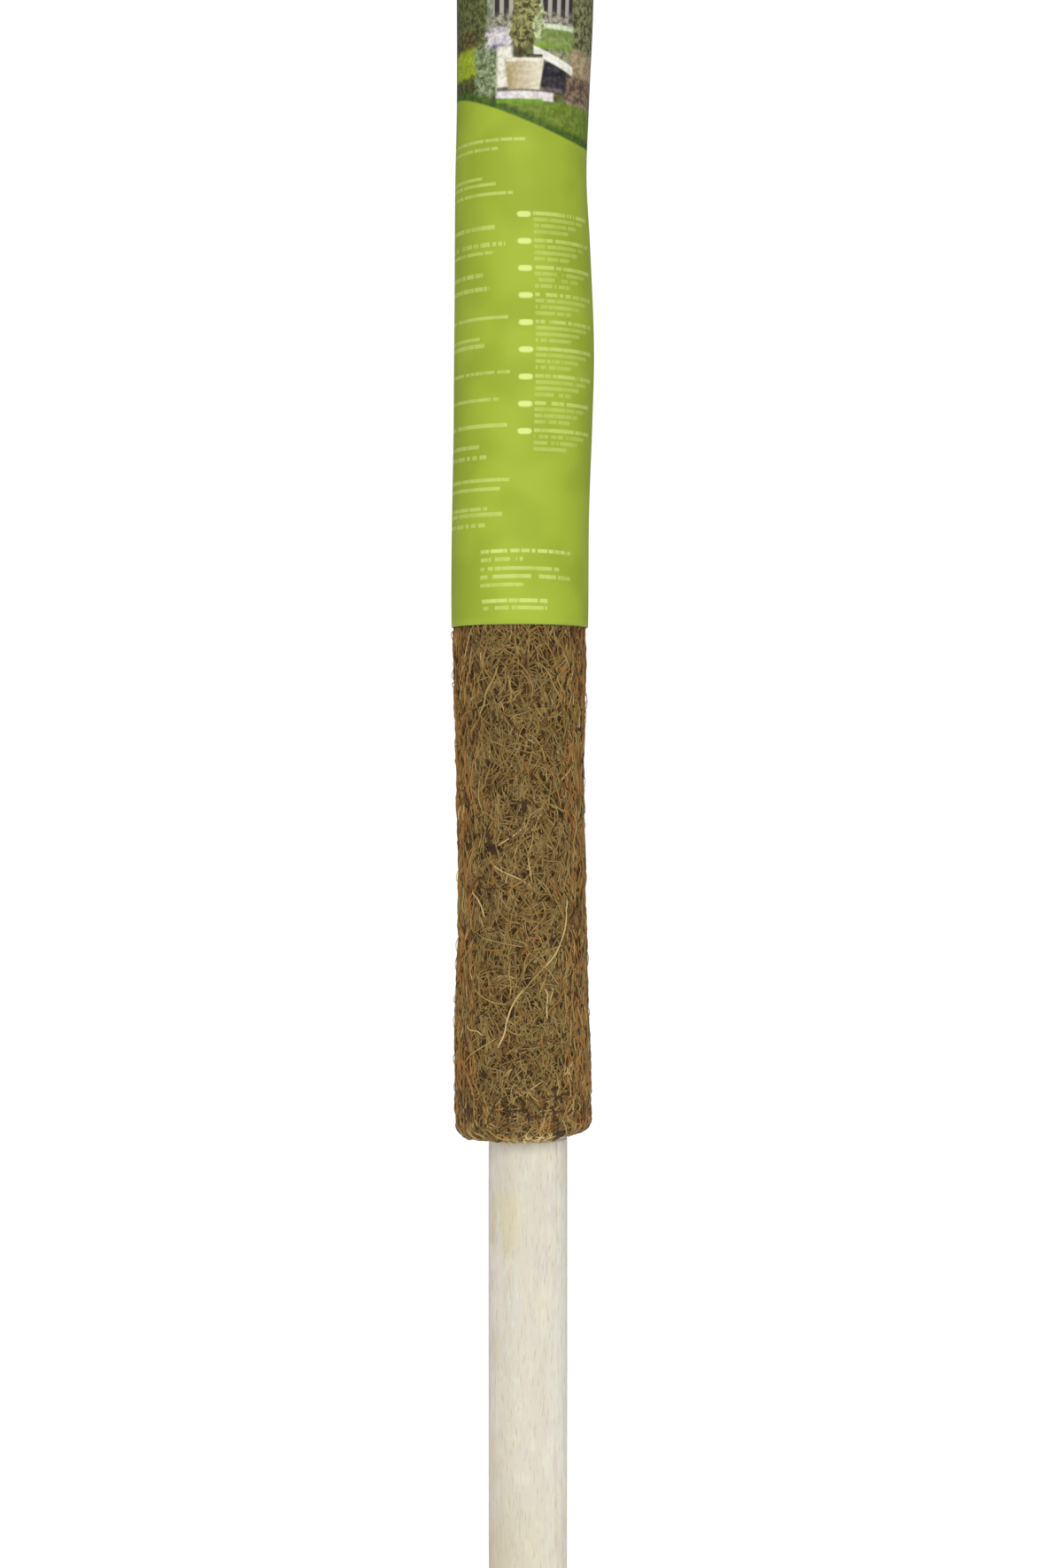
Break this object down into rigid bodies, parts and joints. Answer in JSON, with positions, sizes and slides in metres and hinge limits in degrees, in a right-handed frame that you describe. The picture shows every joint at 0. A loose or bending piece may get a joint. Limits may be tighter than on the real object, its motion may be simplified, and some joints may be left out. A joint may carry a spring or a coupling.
{
  "type": "coir plant support pole",
  "caption": "Round wooden stake in a thick wrapped coir mat, with a printed sleeve label that slides off the top.",
  "frame": {"origin": "on the stake's axis, at the tip of its foot", "axes": "+Z along the stake, from its foot to its top; +X to the right when the printed side faces -Y"},
  "size_m": [0.0358, 0.0362, 0.6],
  "materials": {
    "wood": "sanded, unvarnished pale wood",
    "coir": "matted brown coconut fibre",
    "latex": "dried latex",
    "label_card": "printed, satin varnish",
    "label_glue": "clear hot glue"
  },
  "bodies": {
    "pole": {"wooden_stake": "wood", "coir_mat": "coir", "stake_glue_lines": "latex", "seam_glue_line": "latex"},
    "label": {"label_sleeve": "label_card", "label_glue_strip": "label_glue"}
  },
  "joints": [
    {"name": "label_slide", "type": "slide", "parent": "pole", "child": "label", "axis": [0, 0, 1], "range_m": [0, 0.34]}
  ]
}
